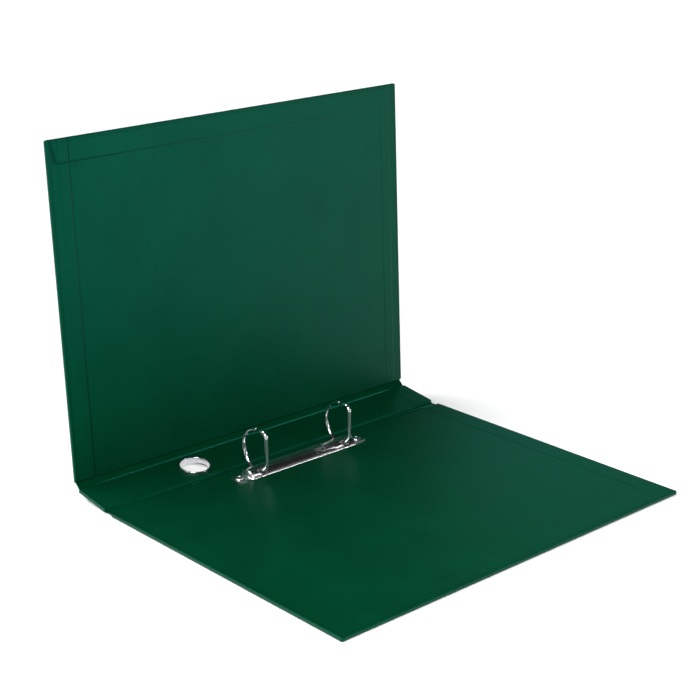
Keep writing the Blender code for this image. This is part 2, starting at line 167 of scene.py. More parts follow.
def blank_material(name):
    """A new material, its tree, its shader, and the coordinates that its patterns read."""
    made = bpy.data.materials.new(name)
    made.use_nodes = True
    tree = made.node_tree
    place = node(tree, "ShaderNodeTexCoord").outputs["Object"]
    return made, tree, tree.nodes["Principled BSDF"], place


def two_tone(tree, place, size, dark, pale, detail=2.0):
    """A colour that wanders between two others, in spots of about this size."""
    noise = node(tree, "ShaderNodeTexNoise", {"Vector": place, "Scale": 1 / size, "Detail": detail})
    mixed = node(
        tree, "ShaderNodeMix",
        {"Factor": noise.outputs["Fac"], "A": linear(dark), "B": linear(pale)}, data_type="RGBA",
    )
    return mixed.outputs["Result"]


def smooth_step(t):
    t = np.clip(t, 0, 1)
    return t * t * (3 - 2 * t)


def make_piece(name, points, faces, material, sharp=35, recalculate=True, values=None):
    """An object at the origin with its place in its mesh, smooth but for its sharp edges."""
    mesh = bpy.data.meshes.new(name)
    mesh.from_pydata([tuple(p) for p in points], [], [tuple(f) for f in faces])
    for key, numbers in (values or {}).items():
        mesh.attributes.new(key, "FLOAT", "POINT").data.foreach_set("value", numbers)
    bm = bmesh.new()
    bm.from_mesh(mesh)
    bmesh.ops.remove_doubles(bm, verts=bm.verts, dist=0.0005 * MM)
    if recalculate:
        bmesh.ops.recalc_face_normals(bm, faces=bm.faces)
    bm.to_mesh(mesh)
    bm.free()
    mesh.shade_smooth()
    mesh.set_sharp_from_angle(angle=math.radians(sharp))
    if material:
        mesh.materials.append(material)
    piece = bpy.data.objects.new(name, mesh)
    bpy.context.scene.collection.objects.link(piece)
    return piece


def cut_away(piece, cutters, sharp=35):
    """Cuts solids out of a piece, applies the cuts and removes the cutters."""
    for cutter in cutters:
        cut = piece.modifiers.new("cut", "BOOLEAN")
        cut.operation, cut.solver, cut.object = "DIFFERENCE", "EXACT", cutter
    evaluated = piece.evaluated_get(bpy.context.evaluated_depsgraph_get())
    mesh = bpy.data.meshes.new_from_object(evaluated)
    piece.modifiers.clear()
    piece.data = mesh
    mesh.shade_smooth()
    mesh.set_sharp_from_angle(angle=math.radians(sharp))
    for cutter in cutters:
        bpy.data.objects.remove(cutter, do_unlink=True)


def loop_faces(rows, around, closed=True):
    """Quads between consecutive loops of points, each loop `around` points long."""
    faces = []
    for i in range(rows - 1):
        for k in range(around if closed else around - 1):
            n = (k + 1) % around
            faces.append((i * around + k, i * around + n, (i + 1) * around + n, (i + 1) * around + k))
    return faces


def sheet_end(start, around):
    """Quads that close one end of a thin sheet, whose loop runs out on top and back below."""
    ends = []
    for k in range(around // 2 - 1):
        ends.append((start + k, start + k + 1, start + around - 2 - k, start + around - 1 - k))
    return ends


def arc(centre, radius, start, end, step=4):
    """Points on an arc between two angles in degrees, about one to each step of degrees."""
    count = max(2, round(abs(end - start) / step) + 1)
    angles = np.radians(np.linspace(start, end, count))
    return [(centre[0] + radius * math.cos(a), centre[1] + radius * math.sin(a)) for a in angles]


# %% [markdown]
# ## The green film
#
# This is soft PVC film with a fine leather grain pressed into it by an embossing roller. The
# grain breaks the light up, so the film has a broad satin sheen and not a sharp reflection.
# The grain is drawn with cells about 1.4 mm across, coarser than the real 0.6 mm, so that it
# still shows at this size, and it is a little darker towards the edges of its cells. The
# colour wanders very slightly, as it does where the film is pulled tighter over the board.
# Its reflections are tinted, because the pigment is strong and the surface is not a clear
# lacquer.
#
# Two numbers are stored at each point of a skin and read here: `crease` is how much painted
# shade darkens the point at the bottom of a pressed line, and `bare` is 1 on a hinge, where the
# film is smoother.

# %% Film material
GRAIN = 1.4 * MM
CELL_SHADE = 0.35  # how much darker the grain gets towards the edges of its cells
FILM_CLOUDS = 45 * MM
HINGE_ROUGHNESS = 0.25  # the film is smoother, and so glossier, on the hinges


def green_film(name, dark, pale, roughness):
    made, tree, shader, place = blank_material(name)
    clouds = node(tree, "ShaderNodeTexNoise", {"Vector": place, "Scale": 1 / FILM_CLOUDS, "Detail": 4.0})
    tone = node(tree, "ShaderNodeValToRGB", {"Fac": clouds.outputs["Fac"]})
    tone.color_ramp.elements[0].position, tone.color_ramp.elements[0].color = 0.3, linear(dark)
    tone.color_ramp.elements[1].position, tone.color_ramp.elements[1].color = 0.7, linear(pale)
    cells = node(
        tree, "ShaderNodeTexVoronoi", {"Vector": place, "Scale": 1 / GRAIN, "Randomness": 0.9},
        feature="SMOOTH_F1",
    )
    fine = node(tree, "ShaderNodeTexNoise", {"Vector": place, "Scale": 2.4 / GRAIN, "Detail": 2.0})
    grain = node(
        tree, "ShaderNodeMath", {0: cells.outputs["Distance"], 1: fine.outputs["Fac"]}, operation="ADD"
    )
    bump = node(
        tree, "ShaderNodeBump", {"Height": grain.outputs[0], "Strength": 0.35, "Distance": 0.05 * MM}
    )
    sheen = node(
        tree, "ShaderNodeMapRange",
        {"Value": clouds.outputs["Fac"], "To Min": roughness - 0.04, "To Max": roughness + 0.05},
    )
    bare = node(tree, "ShaderNodeAttribute", attribute_name="bare").outputs["Fac"]
    gloss = node(
        tree, "ShaderNodeMix", {"Factor": bare, "A": sheen.outputs["Result"], "B": HINGE_ROUGHNESS}
    )
    # The colour darkens towards #000f08 at the grain's cell edges, and with painted shade in the pressed
    # lines, read from `crease`.
    crease = node(tree, "ShaderNodeAttribute", attribute_name="crease").outputs["Fac"]
    grain_and_painted_shade = node(
        tree, "ShaderNodeMath", {0: cells.outputs["Distance"], 1: CELL_SHADE, 2: crease},
        operation="MULTIPLY_ADD", use_clamp=True,
    )
    shade = node(
        tree, "ShaderNodeMix",
        {"Factor": grain_and_painted_shade.outputs[0], "A": tone.outputs["Color"], "B": linear("#000f08")},
        data_type="RGBA",
    )
    tree.links.new(shade.outputs["Result"], shader.inputs["Base Color"])
    tree.links.new(bump.outputs["Normal"], shader.inputs["Normal"])
    tree.links.new(gloss.outputs["Result"], shader.inputs["Roughness"])
    shader.inputs["IOR"].default_value = 1.5
    shader.inputs["Specular IOR Level"].default_value = 0.27
    shader.inputs["Specular Tint"].default_value = (0.0, 1.0, 0.85, 1.0)
    return made


FILM_GREEN = green_film("embossed green PVC film", "#00331b", "#003a21", 0.37)

# %% [markdown]
# ## The wrapped case
#
# The outer film goes round the edges of the boards and 17 mm onto the inside, and a liner
# is laid over that. Each skin here is one closed wall of film with a room for its board.
# A skin is made by sweeping one loop, round both faces and both ends, along the unfolded
# case. It is rounded at a cover's free edge, steps down where the board stops, and bows
# inwards a little over the bare film between two creases.
#
# The grid is fine only where the shape changes. Four skins meet end to end between the
# creases, and each bends over one crease.

# %% Heights of the two faces
TURN_IN = 17 * MM
LINER_EDGE = 8.5 * MM
EDGE_ROUND = 0.75 * MM
CORNER_ROUND = 1.3 * MM
LINE_DEPTH = 0.16 * MM
LINE_WIDTH = 0.5 * MM
MITRE_START = 2.8 * MM  # the corner is folded first, this far from the end of the free edge
NEAR_LINES, FAR_LINES = 1.0, 0.3  # how strong the lines are at the front cover's two ends
BACK_LINES = 0.05  # the lines are fainter on the spine and the back cover
WEDGE_DEPTH = 1.1  # the corner's folded wedge is this much deeper than a line
LINE_FADE = 1.5 * MM  # a line dies away over this length where it meets another
RIM_LINE = 0.3  # the film dips a little inside the rolled edge of a board
FRONT_RIM = 1.8  # and this many times more on the front cover
RIM_IN, RIM_WIDTH = 2.2 * MM, 0.6 * MM  # how far in from the edge that dip is, and its width
NOTCH = 0.9 * MM  # the bare film of a hinge is this much shorter than the boards
STRIP_THICKNESS = 0.8 * MM
STRIP_BOW = 1.25 * MM  # how far the bare film bulges inwards between its creases
OUTER_DENT = 0.25 * MM  # how far the bare film lies below the boards on the outside
PINCH = 22 * MM  # the bulge dies away over this length at the two ends of a hinge
STEP_START, STEP_END = -0.3 * MM, 0.6 * MM  # the liner climbs onto a board between these


def strip_share(u):
    """How far across a hinge strip a place is, from 0 to 1, or outside that on a board."""
    back = (u - CREASES[0]) / (CREASES[1] - CREASES[0])
    front = (u - CREASES[2]) / (CREASES[3] - CREASES[2])
    return np.where(u < (CREASES[1] + CREASES[2]) / 2, back, front)


def from_strip(u):
    """The distance from the nearest hinge strip's crease, positive on a board."""
    back = np.maximum(CREASES[0] - u, u - CREASES[1])
    front = np.maximum(CREASES[2] - u, u - CREASES[3])
    return np.minimum(back, front)


def from_free_edge(u):
    return np.minimum(u + COVER_WIDTH, CREASES[3] + COVER_WIDTH - u)


def line_share(distance, width):
    """1 on a line and 0 away from it."""
    return np.exp(-((distance / width) ** 2))


def pressed_lines(u, y):
    """How deep each pressed line is, from 0 to 1: the turned-in edge, and the corner's folds."""
    # Each line's depth also sets its painted shade, which the film's colour reads through `crease`: the
    # side and end lines, the corner's wedge and the dip inside the rim.
    near = HALF_HEIGHT - np.abs(y)
    free = from_free_edge(u)
    front = u > CREASES[3]
    front_strength = (NEAR_LINES + FAR_LINES) / 2 - (NEAR_LINES - FAR_LINES) / 2 * y / HALF_HEIGHT
    strength = np.where(front, front_strength, BACK_LINES)
    fold = near - (MITRE_START + 0.2 * free)  # from the middle of the corner's folded wedge
    side_line = line_share(near - TURN_IN, LINE_WIDTH)
    end_line = line_share(free - TURN_IN, LINE_WIDTH) * smooth_step(fold / LINE_FADE)
    wedge = line_share(fold, LINE_WIDTH + 0.1 * free)
    wedge = wedge * smooth_step((TURN_IN - free) / LINE_FADE + 0.5)
    rim = np.where(front, FRONT_RIM, 1.0) * RIM_LINE
    rim = rim * line_share(np.minimum(near, free) - RIM_IN, RIM_WIDTH)
    return strength * side_line, strength * end_line, WEDGE_DEPTH * strength * wedge, rim


def inner_relief(u, y):
    """What shows through the liner: the turned-in film's edge, the liner's edge, the corners."""
    near = HALF_HEIGHT - np.abs(y)
    inside = np.minimum(near, from_free_edge(u))
    relief = 0.12 * MM * smooth_step((TURN_IN - inside) / (0.6 * MM) + 0.5)
    relief -= 0.14 * MM * smooth_step((LINER_EDGE - near) / (0.5 * MM) + 0.5) * (u > CREASES[3])
    return relief - LINE_DEPTH * np.sum(pressed_lines(u, y), axis=0)


def end_swell(y):
    """1 along the hinge, falling to 0 at its two pinched ends."""
    return smooth_step((HALF_HEIGHT - np.abs(y)) / PINCH)


def inner_height(u, y):
    board = smooth_step((from_strip(u) - STEP_START) / (STEP_END - STEP_START))
    share = np.clip(strip_share(u), 0, 1)
    swell = end_swell(y)
    skew = share ** (0.8 - 0.35 * (1 - swell))  # the bulge leans to one crease, most at the ends
    bow = STRIP_BOW * np.sin(math.pi * skew) * (0.4 + 0.6 * swell)
    wrinkle = 0.12 * MM * np.sin(y / (3.1 * MM) + 5 * share) * (1 - swell) * np.sin(math.pi * share)
    bare = STRIP_THICKNESS + bow + wrinkle
    return bare + (PANEL - bare) * board + inner_relief(u, y) * board


def outer_height(u):
    return OUTER_DENT * smooth_step(-(from_strip(u) - 0.4 * MM) / (0.9 * MM))


# %% [markdown]
# ### Where the grid is fine
#
# A modeller would add edge loops close to each crease and line and leave the flat board
# coarse. This function does the same with numbers: evenly spaced positions, and extra ones
# close round each place in a list. Two that would almost touch are thinned to one.

# %% The grid lines
def spaced(low, high, coarse, lines):
    """Positions from low to high, `coarse` apart, with more of them close round each line."""
    found = {low, high}
    count = max(1, round((high - low) / coarse))
    found.update(low + (high - low) * i / count for i in range(count + 1))
    for line, reach, step in lines:
        near = np.arange(line - reach, line + reach + step / 2, step)
        found.update(float(v) for v in near if low < v < high)
    found = sorted(found)
    kept = [found[0]]
    for value in found[1:-1]:
        if value - kept[-1] > 0.08 * MM and high - value > 0.08 * MM:
            kept.append(value)
    return np.array(kept + [high])


END_FACE = HALF_HEIGHT - EDGE_ROUND
END_LINES = [
    (side * (HALF_HEIGHT - distance), reach, step)
    for side in (-1, 1)
    for distance, reach, step in (
        (TURN_IN, 1.2 * MM, 0.3 * MM),
        (LINER_EDGE, 0.9 * MM, 0.3 * MM),
        (9 * MM, 8.5 * MM, 0.7 * MM),
        (20 * MM, 12 * MM, 1.6 * MM),
    )
]
Y_LINES = spaced(-END_FACE, END_FACE, 7 * MM, END_LINES)
print(len(Y_LINES), "grid lines along the spine")


def skin_stations(low, high):
    """Where the sweep has a loop, along the unfolded case."""
    lines = []
    for crease in CREASES:
        lines.append((crease, 1.8 * MM, 0.15 * MM))
    for a, b in ((CREASES[0], CREASES[1]), (CREASES[2], CREASES[3])):
        lines.append(((a + b) / 2, (b - a) / 2, 0.4 * MM))
    for edge, side in ((-COVER_WIDTH, 1), (CREASES[3] + COVER_WIDTH, -1)):
        lines.append((edge + side * TURN_IN, 1.2 * MM, 0.3 * MM))
        lines.append((edge + side * 9 * MM, 9 * MM, 0.8 * MM))
        lines.append((edge, CORNER_ROUND, 0.16 * MM))
    return spaced(low, high, 6 * MM, lines)


# %% [markdown]
# ### One skin
#
# The sweep could be a curve with a profile, but a curve can't change its profile on the way.
# So each loop is worked out on its own, at its own place along the case, and neighbouring
# loops are joined with quads. The loops run outer face, far end, inner face, near end.

# %% One skin
RIM_STEPS = 5
PAINTED_LINE_SHADE = 0.85  # how much painted shade darkens the bottom of a pressed line


def skin_loop(u):
    """One loop of the sweep: outer face, far end, inner face, near end, as (y, z) points."""
    free = float(from_free_edge(np.array([u]))[0])
    pull_z = pull_y = 0.0
    if free < EDGE_ROUND:
        pull_z = EDGE_ROUND - math.sqrt(max(EDGE_ROUND**2 - (EDGE_ROUND - free) ** 2, 0))
    if free < CORNER_ROUND:
        pull_y = CORNER_ROUND - math.sqrt(max(CORNER_ROUND**2 - (CORNER_ROUND - free) ** 2, 0))
    pull_y += NOTCH * float(smooth_step(-from_strip(np.array([u])) / (1.2 * MM))[0])
    y = Y_LINES * (END_FACE - pull_y) / END_FACE
    us = np.full(len(y), u)
    outer = np.full(len(y), float(outer_height(np.array([u]))[0])) + pull_z
    inner = inner_height(us, y) - pull_z
    loop = list(zip(y, outer))
    for side, ends in ((1, (-1, -1)), (-1, (0, 0))):
        low, high = outer[ends[0]], inner[ends[1]]
        base = side * (END_FACE - pull_y)
        half = (high - low) / 2
        radius = min(EDGE_ROUND, half * 0.98)
        angles = [math.radians(90 * i / RIM_STEPS) for i in range(1, RIM_STEPS)]
        rise = [(EDGE_ROUND * math.sin(a), low + radius * (1 - math.cos(a))) for a in angles]
        rise += [(EDGE_ROUND, low + radius), (EDGE_ROUND, high - radius)]
        rise += [(EDGE_ROUND * math.sin(a), high - radius * (1 - math.cos(a))) for a in reversed(angles)]
        rim = [(base + side * dy, z) for dy, z in rise]
        if side > 0:
            loop += rim
            loop += list(zip(y[::-1], inner[::-1]))
        else:
            loop += rim[::-1]
    return loop


def cap_faces(start, count, rim):
    """Closes one end of the sweep with quads between its two faces, and one face at each rim."""
    faces = []
    inner_start = count + rim
    for k in range(count - 1):
        a, b = k, k + 1
        c, d = inner_start + (count - 1 - b), inner_start + (count - 1 - a)
        faces.append(tuple(start + i for i in (a, b, c, d)))
    far = [count - 1, *range(count, count + rim), inner_start]
    near = [inner_start + count - 1, *range(inner_start + count, inner_start + count + rim), 0]
    return faces + [tuple(start + i for i in far), tuple(start + i for i in near)]


def make_skin(name, low, high):
    stations = skin_stations(low, high)
    loops = [skin_loop(u) for u in stations]
    around = len(loops[0])
    us = np.repeat(stations, around)
    yz = np.array([point for loop in loops for point in loop])
    points = on_case(us, yz[:, 0], yz[:, 1])
    faces = loop_faces(len(stations), around)
    rim = (around - 2 * len(Y_LINES)) // 2
    faces += cap_faces(0, len(Y_LINES), rim)
    faces += cap_faces((len(stations) - 1) * around, len(Y_LINES), rim)
    # The pressed lines of the inner face get painted shade, stored in `crease` for the film's colour.
    inner = yz[:, 1] > STRIP_THICKNESS * 0.7
    crease = np.where(inner, np.max(pressed_lines(us, yz[:, 0]), axis=0) * PAINTED_LINE_SHADE, 0)
    bare = smooth_step(-from_strip(us) / (0.8 * MM) + 0.5)
    values = {"crease": crease, "bare": bare}
    piece = make_piece(name, points, faces, FILM_GREEN, sharp=50, values=values)
    print(name, len(piece.data.polygons), "faces")
    return piece


def case_block(name, low, high, half, z_low, z_high):
    """A plain block on one panel of the case, used to cut out the room for a board."""
    corners = [(u, y, z) for u in (low, high) for y in (-half, half) for z in (z_low, z_high)]
    us, ys, zs = np.array(corners).T
    faces = [(0, 1, 3, 2), (4, 6, 7, 5), (0, 4, 5, 1), (2, 3, 7, 6), (0, 2, 6, 4), (1, 5, 7, 3)]
    return make_piece(name, on_case(us, ys, zs), faces, None)


def post(name, panel, u, y, radius, low, high, steps=72):
    """A round post standing across the case, used to cut a hole."""
    circle = [(radius * math.cos(a), radius * math.sin(a)) for a in np.arange(steps) * 2 * math.pi / steps]
    matrix = panel_matrix(panel, u, y)
    points = [matrix @ Vector((x, dy, z)) for z in (low, high) for x, dy in circle]
    faces = loop_faces(2, steps) + [tuple(range(steps)), tuple(range(steps, 2 * steps))]
    return make_piece(name, points, faces, None)


# %% [markdown]
# ### The four skins and their rooms
#
# Each skin starts solid. Boolean cuts then take out the room for its board, the holes for the
# rivets and the hole for the finger ring, because the boards and the metal pieces are
# separate pieces that stand in the film.

# %% The four skins
ROOM_LOW, ROOM_HIGH = 0.4 * MM, 2.2 * MM  # the boards lie between these heights
ROOM_EDGE = 0.4 * MM  # the film that is left round the boards' outer edges
ROOM_HALF = HALF_HEIGHT - ROOM_EDGE
ROOM_CLEAR = 0.55 * MM  # from a crease to the room beside it
SEAMS = (
    (CREASES[0] + CREASES[1]) / 2,
    CREASES[2] - 2.5 * MM,
    (CREASES[2] + CREASES[3]) / 2,
)
EDGES = (-COVER_WIDTH, *SEAMS, CREASES[3] + COVER_WIDTH)
SKIN_NAMES = ("back_cover_skin", "spine_skin", "front_hinge_skin", "front_cover_skin")
skins = [make_skin(name, a, b) for name, a, b in zip(SKIN_NAMES, EDGES, EDGES[1:])]


def board_room(low, high):
    return case_block("board room", low, high, ROOM_HALF, ROOM_LOW, ROOM_HIGH)


plate_low, plate_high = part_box("mechanism_cover_plate")
PLATE_X = (plate_low.x + plate_high.x) / 2
rivet_low, rivet_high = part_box("top_rivet")
RIVET_Y = (rivet_low.y + rivet_high.y) / 2
RIVET_U = PIVOTS[0][0] - PLATE_X
hole_low, hole_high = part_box("finger_ring")
FINGER_Y = (hole_low.y + hole_high.y) / 2
BARREL = 11.6 * MM  # the outside radius of the finger ring's tube
HEAD_ROOM, SHANK_ROOM = 4.15 * MM, 1.8 * MM  # radii of the rooms for a rivet's head and shank
SKIN_SHARP = 50  # a skin's edges stay sharp from this angle up, in degrees

rivet_rooms = []
for side in (-1, 1):
    spot = (0, RIVET_U, side * RIVET_Y)
    rivet_rooms.append(post("head room", *spot, HEAD_ROOM, -1 * MM, 0.42 * MM))
    rivet_rooms.append(post("shank room", *spot, SHANK_ROOM, 0.3 * MM, 5 * MM, 32))
cut_away(skins[0], [board_room(-COVER_WIDTH + ROOM_EDGE, -ROOM_CLEAR), *rivet_rooms], SKIN_SHARP)
spine_room = (CREASES[1] + ROOM_CLEAR, CREASES[2] - ROOM_CLEAR)
finger_room = post("finger room", 2, SPINE_MIDDLE, FINGER_Y, BARREL + 0.1 * MM, -2 * MM, 6 * MM, 96)
cut_away(skins[1], [board_room(*spine_room), finger_room], SKIN_SHARP)
cut_away(skins[2], [board_room(*spine_room)], SKIN_SHARP)
front_room = (CREASES[3] + ROOM_CLEAR, CREASES[3] + COVER_WIDTH - ROOM_EDGE)
cut_away(skins[3], [board_room(*front_room)], SKIN_SHARP)
print("skins cut:", sum(len(skin.data.polygons) for skin in skins), "faces")

# %% [markdown]
# ## The boards
#
# Grey board is pressed waste paper, matt and slightly speckled. The boards sit inside the
# film, so only their material changes here: their shape is the CAD model's own.

# %% Board material
FIBRES = 1.5 * MM  # the clumps of fibre in pressed waste paper


def grey_board():
    made, tree, shader, place = blank_material("pressed grey board")
    tone = two_tone(tree, place, FIBRES, "#8f8a80", "#a8a296", 5.0)
    tree.links.new(tone, shader.inputs["Base Color"])
    shader.inputs["Roughness"].default_value = 0.9
    return made


def give_material(name, material):
    """A CAD node keeps its shape and gets this material."""
    mesh = frame["nodes"][name].data
    mesh.materials.clear()
    mesh.materials.append(material)


BOARD_GREY = grey_board()
BOARDS = ("back_cover_board", "spine_board", "front_cover_board")
for board in BOARDS:
    give_material(board, BOARD_GREY)
print(len(BOARDS), "boards")

# %% [markdown]
# ## Nickel-plated steel
#
# The mechanism is pressed from bright strip and plated with nickel, which keeps the faint
# lines of the rolling mill. A metal has no diffuse colour, so what shows is the reflection
# of the film around it. The lines run along the spine, so the noise is stretched that way.

# %% Steel materials
def plated_steel(name, tint, roughness, line_size):
    """Nickel plate, with rolling lines this far apart across and forty times as long."""
    made, tree, shader, place = blank_material(name)
    stretched = node(tree, "ShaderNodeMapping", {"Vector": place, "Scale": (1.0, 1 / 40, 1.0)})
    lines = node(
        tree, "ShaderNodeTexNoise",
        {"Vector": stretched.outputs["Vector"], "Scale": 1 / line_size, "Detail": 3.0},
    )
    dull = node(
        tree, "ShaderNodeMapRange",
        {"Value": lines.outputs["Fac"], "To Min": roughness * 0.7, "To Max": roughness * 1.5},
    )
    bump = node(
        tree, "ShaderNodeBump", {"Height": lines.outputs["Fac"], "Strength": 0.1, "Distance": 0.01 * MM}
    )
    tree.links.new(dull.outputs["Result"], shader.inputs["Roughness"])
    tree.links.new(bump.outputs["Normal"], shader.inputs["Normal"])
    shader.inputs["Base Color"].default_value = linear(tint)
    shader.inputs["Metallic"].default_value = 1.0
    return made


NICKEL = plated_steel("nickel plated strip", "#d8d7da", 0.23, 0.5 * MM)
NICKEL_WIRE = plated_steel("nickel plated wire", "#dedee2", 0.12, 0.8 * MM)

# %% [markdown]
# ## The cover plate
#
# A strip of 0.7 mm steel is arched over the hinge blades, which snap from shut to open
# against its spring. Its ends are pressed flat and riveted to the cover. The legs of the
# rings pass through four windows, and the press leaves a raised lip round each of them.
# The plate is a grid bent over an arc: a signed distance to each window raises the lips.

# %% Plate shape
PLATE_SHEET = 0.7 * MM
ARCH_END, TAB_START = 49 * MM, 53 * MM
PLATE_HALF, TAB_HALF = 8.2 * MM, 5.3 * MM
PLATE_RISE = 5.1 * MM
PLATE_BASE = PANEL + 0.1 * MM + PLATE_SHEET / 2
PLATE_LENGTH = plate_high.y
RING_Y = (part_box("top_ring_straight_half")[0].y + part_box("top_ring_straight_half")[1].y) / 2
WINDOW_MIDDLE, WINDOW_HALF = 5.65 * MM, (2.05 * MM, 2.6 * MM)
WINDOW_ROUND = 0.7 * MM
LIP = 0.35 * MM


def window_distance(x, y):
    """The distance from the edge of the nearest window, negative inside it."""
    dx = np.abs(np.abs(x) - WINDOW_MIDDLE) - WINDOW_HALF[0] + WINDOW_ROUND
    dy = np.abs(np.abs(y) - RING_Y) - WINDOW_HALF[1] + WINDOW_ROUND
    outside = np.hypot(np.maximum(dx, 0), np.maximum(dy, 0))
    return outside + np.minimum(np.maximum(dx, dy), 0) - WINDOW_ROUND


def plate_points(t, y, offset):
    """Points of the plate: t across it from -1 to 1, offset outwards from mid-sheet."""
    share = smooth_step((np.abs(y) - ARCH_END) / (TAB_START - ARCH_END))
    width = PLATE_HALF + (TAB_HALF - PLATE_HALF) * share
    rise = np.maximum(PLATE_RISE * (1 - share), 0.001 * MM)
    angle = 2 * np.arctan(rise / width)
    across = width * np.sin(angle * t) / np.sin(angle)
    up = rise * (np.cos(angle * t) - np.cos(angle)) / (1 - np.cos(angle))
    lip = LIP * np.exp(-(((window_distance(across, y) - 0.35 * MM) / (0.4 * MM)) ** 2))
    rolled = -0.1 * MM * np.exp(-(((np.abs(t) - 0.33) / 0.035) ** 2)) * (1 - share)
    offset = offset + lip + rolled
    x = PLATE_X + across + offset * np.sin(angle * t)
    return np.stack([x, y, PLATE_BASE + up + offset * np.cos(angle * t)], -1)


def make_plate():
    fine = [(side * RING_Y, 5 * MM, 0.35 * MM) for side in (-1, 1)]
    fine += [(side * 51 * MM, 2.6 * MM, 0.4 * MM) for side in (-1, 1)]
    ys = spaced(-PLATE_LENGTH, PLATE_LENGTH, 4 * MM, fine)
    ts = np.linspace(-1, 1, 65)
    grid_t, grid_y = np.meshgrid(ts, ys)
    around = 2 * len(ts)
    upper = plate_points(grid_t, grid_y, PLATE_SHEET / 2)
    lower = plate_points(grid_t, grid_y, -PLATE_SHEET / 2)[:, ::-1]
    points = np.concatenate([upper, lower], axis=1).reshape(-1, 3)
    faces = loop_faces(len(ys), around)
    faces += sheet_end(0, around) + sheet_end((len(ys) - 1) * around, around)
    plate = make_piece("ring_mechanism_plate", points, faces, NICKEL, sharp=40)
    cutters = []
    for side in (-1, 1):
        for end in (-1, 1):
            middle = (PLATE_X + side * WINDOW_MIDDLE, end * RING_Y)
            cutters.append(rounded_post(middle, WINDOW_HALF, WINDOW_ROUND, 3.2 * MM, 12 * MM))
    for end in (-1, 1):
        hole = post("rivet hole", 0, RIVET_U, end * RIVET_Y, SHANK_ROOM, 1 * MM, 5 * MM, 32)
        cutters.append(hole)
    cut_away(plate, cutters, 40)
    return plate


def rounded_post(middle, half, radius, low, high):
    """An upright post whose outline is a rectangle with round corners."""
    outline = []
    for k, (sx, sy) in enumerate(((1, 1), (-1, 1), (-1, -1), (1, -1))):
        centre = (middle[0] + sx * (half[0] - radius), middle[1] + sy * (half[1] - radius))
        outline += arc(centre, radius, 90 * k, 90 * k + 90, 18)
    points = [(x, y, z) for z in (low, high) for x, y in outline]
    count = len(outline)
    faces = loop_faces(2, count) + [tuple(range(count)), tuple(range(count, 2 * count))]
    return make_piece("window", points, faces, None)


plate = make_plate()
print("plate", len(plate.data.polygons), "faces")

# %% [markdown]
# ## The rings
#
# Each ring is two bent wires that meet at a seam on top. The curved half is one arc down
# the spine side; the straight half runs level, turns down the page side, and bends in
# under the sheets to its window. A wire is a circle swept along a line made of arcs, with
# a small chamfer where it was cut off.

# %% Ring wires
WIRE = 1.4 * MM
seam_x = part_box("top_ring_curved_half")[1].x
ring_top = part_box("top_ring_curved_half")[1].z - WIRE
RING_ROUND = 16.8 * MM
LEG_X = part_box("top_ring_straight_half")[1].x - WIRE
TOP_BEND, FOOT_BEND = 5.0 * MM, 3.0 * MM
FOOT_HEIGHT = 12.2 * MM  # where the leg's and the foot's lines would cross
FOOT_END = 4.6 * MM  # the feet stop on the hinge blades, inside the plate
CHAMFER = 0.2 * MM


def curved_half():
    centre = (seam_x + 0.1 * MM, ring_top - RING_ROUND)
    line = arc(centre, RING_ROUND, 90, 232, 3)
    line[0] = (seam_x, ring_top)
    way = (-math.sin(math.radians(232)), math.cos(math.radians(232)))
    reach = (line[-1][1] - FOOT_END) / -way[1]
    return line + [(line[-1][0] + way[0] * reach, FOOT_END)]


def straight_half():
    reach = FOOT_BEND * math.tan(math.radians(22.5))
    line = [(seam_x + 0.2 * MM, ring_top)]
    line += arc((LEG_X - TOP_BEND, ring_top - TOP_BEND), TOP_BEND, 90, 0, 6)
    line += arc((LEG_X - FOOT_BEND, FOOT_HEIGHT + reach), FOOT_BEND, 0, -45, 6)
    drop = line[-1][1] - FOOT_END
    return line + [(line[-1][0] - drop, FOOT_END)]


def make_wire(name, line, y):
    """A round wire along a line in the XZ plane, chamfered at its first end."""
    sides = 28
    line = [np.array(p) for p in line]
    first = (line[1] - line[0]) / np.linalg.norm(line[1] - line[0])
    line = [line[0], line[0] + first * CHAMFER, *line[1:]]
    radii = [WIRE - CHAMFER] + [WIRE] * (len(line) - 1)
    points = []
    for i, (place, radius) in enumerate(zip(line, radii)):
        before, after = line[max(i - 1, 0)], line[min(i + 1, len(line) - 1)]
        way = (after - before) / np.linalg.norm(after - before)
        out = np.array((-way[1], way[0]))
        for k in range(sides):
            a = 2 * math.pi * k / sides
            across = place + out * math.cos(a) * radius
            points.append((across[0], y + math.sin(a) * radius, across[1]))
    last = (len(line) - 1) * sides
    faces = loop_faces(len(line), sides)
    faces += [tuple(range(sides)), tuple(range(last, last + sides))]
    return make_piece(name, points, faces, NICKEL_WIRE, sharp=50)


rings = []
for place, y in (("bottom", -RING_Y), ("top", RING_Y)):
    curved = make_wire(f"{place}_ring_curved_wire", curved_half(), y)
    straight = make_wire(f"{place}_ring_straight_wire", straight_half(), y)
    rings.append((curved, "spine_side_rings", f"{place}_ring_curved_half"))
    rings.append((straight, "page_side_rings", f"{place}_ring_straight_half"))

print(len(rings), "ring wires")
for blade in ("spine_side_blade", "page_side_blade"):
    give_material(blade, NICKEL)

# %% [markdown]
# ## Turned pieces: rivets, finger ring and washer
#
# A rivet, an eyelet and a washer are all round, so each is a profile turned about an axis.
# The rivets are tubular: their dome has a dimple where the tube was rolled over. The finger
# ring is pushed through from outside, and its barrel is rolled over the washer inside.

# %% Turned pieces
def turn(name, profile, matrix, material, steps=96, sharp=40):
    """A closed profile of (radius, height) points turned about the Z axis of a frame."""
    points = []
    for i in range(steps):
        a = 2 * math.pi * i / steps
        points += [matrix @ Vector((r * math.cos(a), r * math.sin(a), z)) for r, z in profile]
    count = len(profile)
    faces = []
    for i in range(steps):
        n = (i + 1) % steps
        for k in range(count):
            m = (k + 1) % count
            if profile[k][0] > 0 or profile[m][0] > 0:
                faces.append((i * count + k, i * count + m, n * count + m, n * count + k))
    return make_piece(name, points, faces, material, sharp=sharp)


